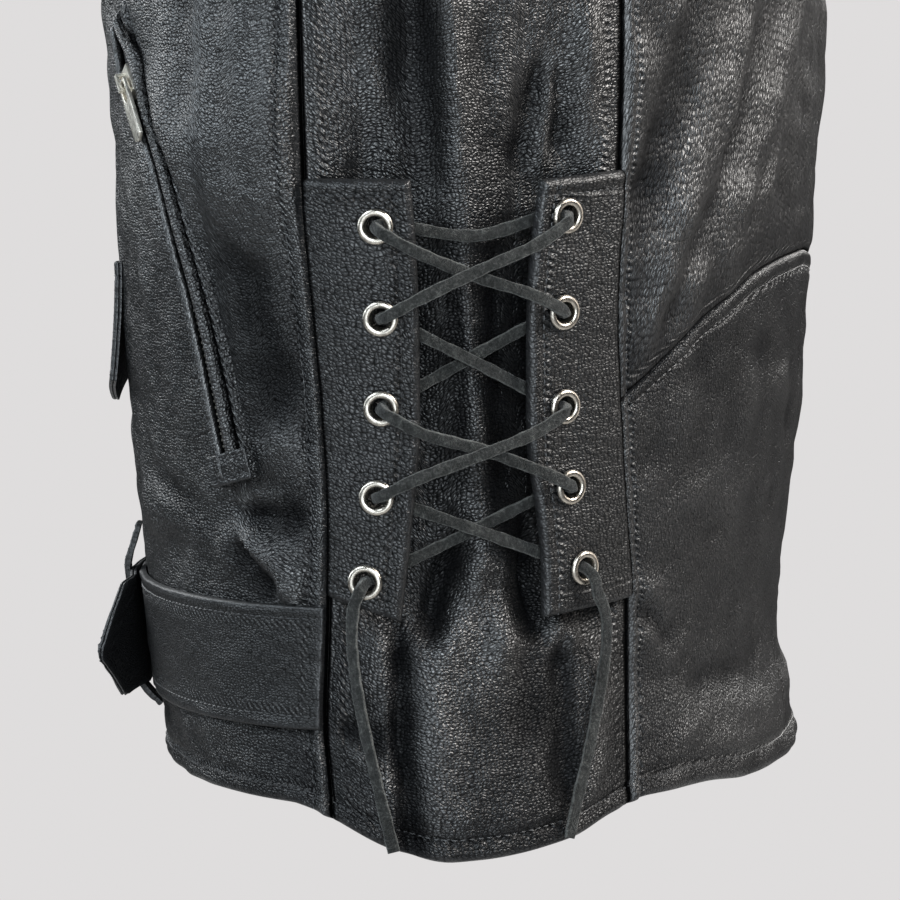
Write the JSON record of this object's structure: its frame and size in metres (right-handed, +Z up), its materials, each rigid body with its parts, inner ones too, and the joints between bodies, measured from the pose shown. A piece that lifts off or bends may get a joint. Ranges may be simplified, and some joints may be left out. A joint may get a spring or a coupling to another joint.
{
  "type": "leather motorcycle jacket",
  "caption": "Black leather motorcycle jacket, worn shape and hollow, with laced side panels, slanted zip pockets, lapels, collar and a buckled belt at the hem.",
  "frame": {"origin": "middle of the body at the level of the shoulders, where the wearer carries the jacket", "axes": "+Z up, the wearer faces -Y and the wearer's left is +X"},
  "size_m": [1.4908, 0.3531, 0.6704],
  "materials": {
    "leather": "pebbled grain, satin",
    "strap_leather": "pebbled grain, satin",
    "lace": "suede, matte",
    "nickel": "nickel plated",
    "zip_metal": "satin"
  },
  "bodies": {
    "root": {"front_left": "leather", "front_right": "leather", "side_left": "leather", "side_right": "leather", "back_upper": "leather", "back_lower": "leather", "sleeve_upper_left": "leather", "sleeve_upper_right": "leather", "sleeve_under_left": "leather", "sleeve_under_right": "leather", "collar": "leather", "lapel_left": "leather", "lapel_right": "leather", "coin_flap": "leather", "pocket_welt_left": "leather", "pocket_welt_right": "leather", "flap_front_left": "strap_leather", "flap_front_right": "strap_leather", "flap_rear_left": "strap_leather", "flap_rear_right": "strap_leather", "belt_left": "strap_leather", "belt_right": "strap_leather", "belt_loop_left": "strap_leather", "belt_loop_right": "strap_leather", "lace_left": "lace", "lace_right": "lace", "lace_end_front_left": "lace", "lace_end_front_right": "lace", "lace_end_rear_left": "lace", "lace_end_rear_right": "lace", "eyelet_front_1_left": "nickel", "eyelet_front_1_right": "nickel", "eyelet_front_2_left": "nickel", "eyelet_front_2_right": "nickel", "eyelet_front_3_left": "nickel", "eyelet_front_3_right": "nickel", "eyelet_front_4_left": "nickel", "eyelet_front_4_right": "nickel", "eyelet_front_5_left": "nickel", "eyelet_front_5_right": "nickel", "eyelet_rear_1_left": "nickel", "eyelet_rear_1_right": "nickel", "eyelet_rear_2_left": "nickel", "eyelet_rear_2_right": "nickel", "eyelet_rear_3_left": "nickel", "eyelet_rear_3_right": "nickel", "eyelet_rear_4_left": "nickel", "eyelet_rear_4_right": "nickel", "eyelet_rear_5_left": "nickel", "eyelet_rear_5_right": "nickel", "buckle_frame": "nickel", "buckle_prong": "nickel", "pocket_zip_left": "zip_metal", "pocket_zip_right": "zip_metal", "front_zip": "zip_metal"},
    "pocket_pull_left": {"pocket_pull_left": "zip_metal"},
    "pocket_pull_right": {"pocket_pull_right": "zip_metal"},
    "front_pull": {"front_pull": "zip_metal"}
  },
  "joints": [
    {"name": "pocket_pull_left_swing", "type": "hinge", "parent": "root", "child": "pocket_pull_left", "pos_m": [0.18678, -0.08866, -0.3327], "axis": [-0.7311, -0.4663, -0.4981], "range_deg": [0, 150]},
    {"name": "pocket_pull_right_swing", "type": "hinge", "parent": "root", "child": "pocket_pull_right", "pos_m": [-0.18678, -0.08866, -0.3327], "axis": [-0.7311, 0.4663, 0.4981], "range_deg": [0, 150]},
    {"name": "front_pull_swing", "type": "hinge", "parent": "root", "child": "front_pull", "pos_m": [-0.07035, -0.13637, -0.26627], "axis": [-0.9811, 0.1342, -0.1394], "range_deg": [0, 150]}
  ]
}
